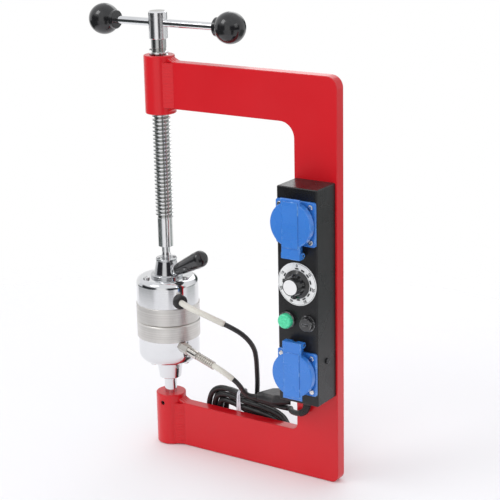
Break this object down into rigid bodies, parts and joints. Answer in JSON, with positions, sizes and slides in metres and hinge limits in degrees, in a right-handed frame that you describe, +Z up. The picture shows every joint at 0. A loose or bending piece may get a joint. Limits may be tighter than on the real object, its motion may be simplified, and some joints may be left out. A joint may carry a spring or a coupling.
{
  "type": "tire vulcanizer",
  "caption": "Bench vulcanizing press: flat steel C frame with a clamp screw, a heated head over a fixed heated head, and a column box with lidded sockets, dial timer, lamp and fuse.",
  "frame": {"origin": "on the clamp screw's axis at the plane of the table, the middle of the lower boss's underside", "axes": "+X from the screw's axis to the column, +Y away from the control box, +Z up along the clamp screw"},
  "size_m": [0.371, 0.1575, 0.5873],
  "materials": {
    "frame_paint": "gloss",
    "bright_steel": "polished",
    "plate_aluminium": "turned",
    "zinc_screws": "plated",
    "hard_steel": "ground",
    "nickel": "plated",
    "contact_brass": "plain",
    "phenolic": "moulded",
    "mica": "plain",
    "black_rubber": "moulded",
    "cord_sheath": "satin",
    "glass_fibre_sleeve": "woven",
    "white_plastic": "plain",
    "black_plastic": "moulded",
    "box_paint": "powder coat",
    "blue_plastic": "moulded",
    "dial_print": "printed",
    "green_lens": "clear"
  },
  "bodies": {
    "stand": {"frame_plate": "frame_paint", "upper_boss": "frame_paint", "lower_boss": "frame_paint", "lower_cup": "bright_steel", "lower_hub": "bright_steel", "lower_pin": "bright_steel", "lower_platen": "plate_aluminium", "lower_heater_screws": "zinc_screws", "box_screws": "zinc_screws", "socket_screws": "zinc_screws", "lid_pins": "zinc_screws", "lower_element": "hard_steel", "lid_springs": "hard_steel", "lower_gland": "nickel", "strain_spring": "nickel", "plug_pins": "nickel", "socket_contacts": "contact_brass", "lamp_body": "phenolic", "fuse_holder": "phenolic", "lower_insulator": "mica", "lower_thermostat": "mica", "upper_lead_plug": "black_rubber", "lower_lead_plug": "black_rubber", "mains_plug": "black_rubber", "upper_lead": "cord_sheath", "lower_lead": "cord_sheath", "mains_tail": "cord_sheath", "mains_hank": "cord_sheath", "mains_end": "cord_sheath", "lower_sleeve": "glass_fibre_sleeve", "hank_tie": "white_plastic", "mains_gland": "black_plastic", "timer_body": "black_plastic", "box_cover": "box_paint", "box_back": "box_paint", "upper_socket": "blue_plastic", "lower_socket": "blue_plastic", "dial_plate": "dial_print", "lamp_lens": "green_lens"},
    "press_carriage": {"thrust_washer": "hard_steel"},
    "screw": {"clamp_screw": "bright_steel"},
    "tommy_bar_body": {"tommy_bar": "bright_steel", "bar_knobs": "phenolic"},
    "upper_heater": {"upper_hub": "bright_steel", "hub_cap": "bright_steel", "upper_heater_screws": "zinc_screws", "handle_ferrule": "bright_steel", "handle_grip": "phenolic", "upper_cup": "bright_steel", "upper_insulator": "mica", "upper_element": "hard_steel", "upper_thermostat": "mica", "upper_platen": "plate_aluminium", "upper_grommet": "black_rubber", "upper_sleeve": "glass_fibre_sleeve"},
    "timer_knob_body": {"timer_knob": "phenolic", "knob_cap": "white_plastic"},
    "fuse_cap_body": {"fuse_cap": "phenolic"},
    "upper_lid": {"upper_socket_lid": "blue_plastic"},
    "lower_lid": {"lower_socket_lid": "blue_plastic"}
  },
  "joints": [
    {"name": "press_lift", "type": "slide", "parent": "stand", "child": "press_carriage", "axis": [0, 0, 1], "range_m": [0, 0.1151], "deforming": ["upper_sleeve", "upper_lead"]},
    {"name": "screw_turn", "type": "hinge", "parent": "press_carriage", "child": "screw", "pos_m": [0, 0, 0.43], "axis": [0, 0, 1], "range_deg": [0, 8280]},
    {"name": "bar_slide", "type": "slide", "parent": "screw", "child": "tommy_bar_body", "axis": [1, 0, 0], "range_m": [-0.0765, 0.0525]},
    {"name": "heater_swivel", "type": "hinge", "parent": "press_carriage", "child": "upper_heater", "pos_m": [0, 0, 0.2463], "axis": [0, 0, 1], "range_deg": [-20, 20], "deforming": ["upper_sleeve", "upper_lead"]},
    {"name": "timer_turn", "type": "hinge", "parent": "stand", "child": "timer_knob_body", "pos_m": [0.2345, -0.052, 0.2725], "axis": [0, 1, 0], "range_deg": [0, 300]},
    {"name": "fuse_cap_turn", "type": "hinge", "parent": "stand", "child": "fuse_cap_body", "pos_m": [0.249, -0.052, 0.2245], "axis": [0, -1, 0], "range_deg": [0, 90]},
    {"name": "upper_lid_hinge", "type": "hinge", "parent": "stand", "child": "upper_lid", "pos_m": [0.2345, -0.058, 0.3112], "axis": [1, 0, 0], "range_deg": [0, 105], "stiffness_Nm_per_rad": 0.012, "springref_deg": -34.38},
    {"name": "lower_lid_hinge", "type": "hinge", "parent": "stand", "child": "lower_lid", "pos_m": [0.2345, -0.058, 0.1985], "axis": [-1, 0, 0], "range_deg": [0, 105], "stiffness_Nm_per_rad": 0.012, "springref_deg": -34.38}
  ],
  "couplings": [
    {"joint": "press_lift", "follows": "screw_turn", "m_per_rad": 0.00079577}
  ]
}
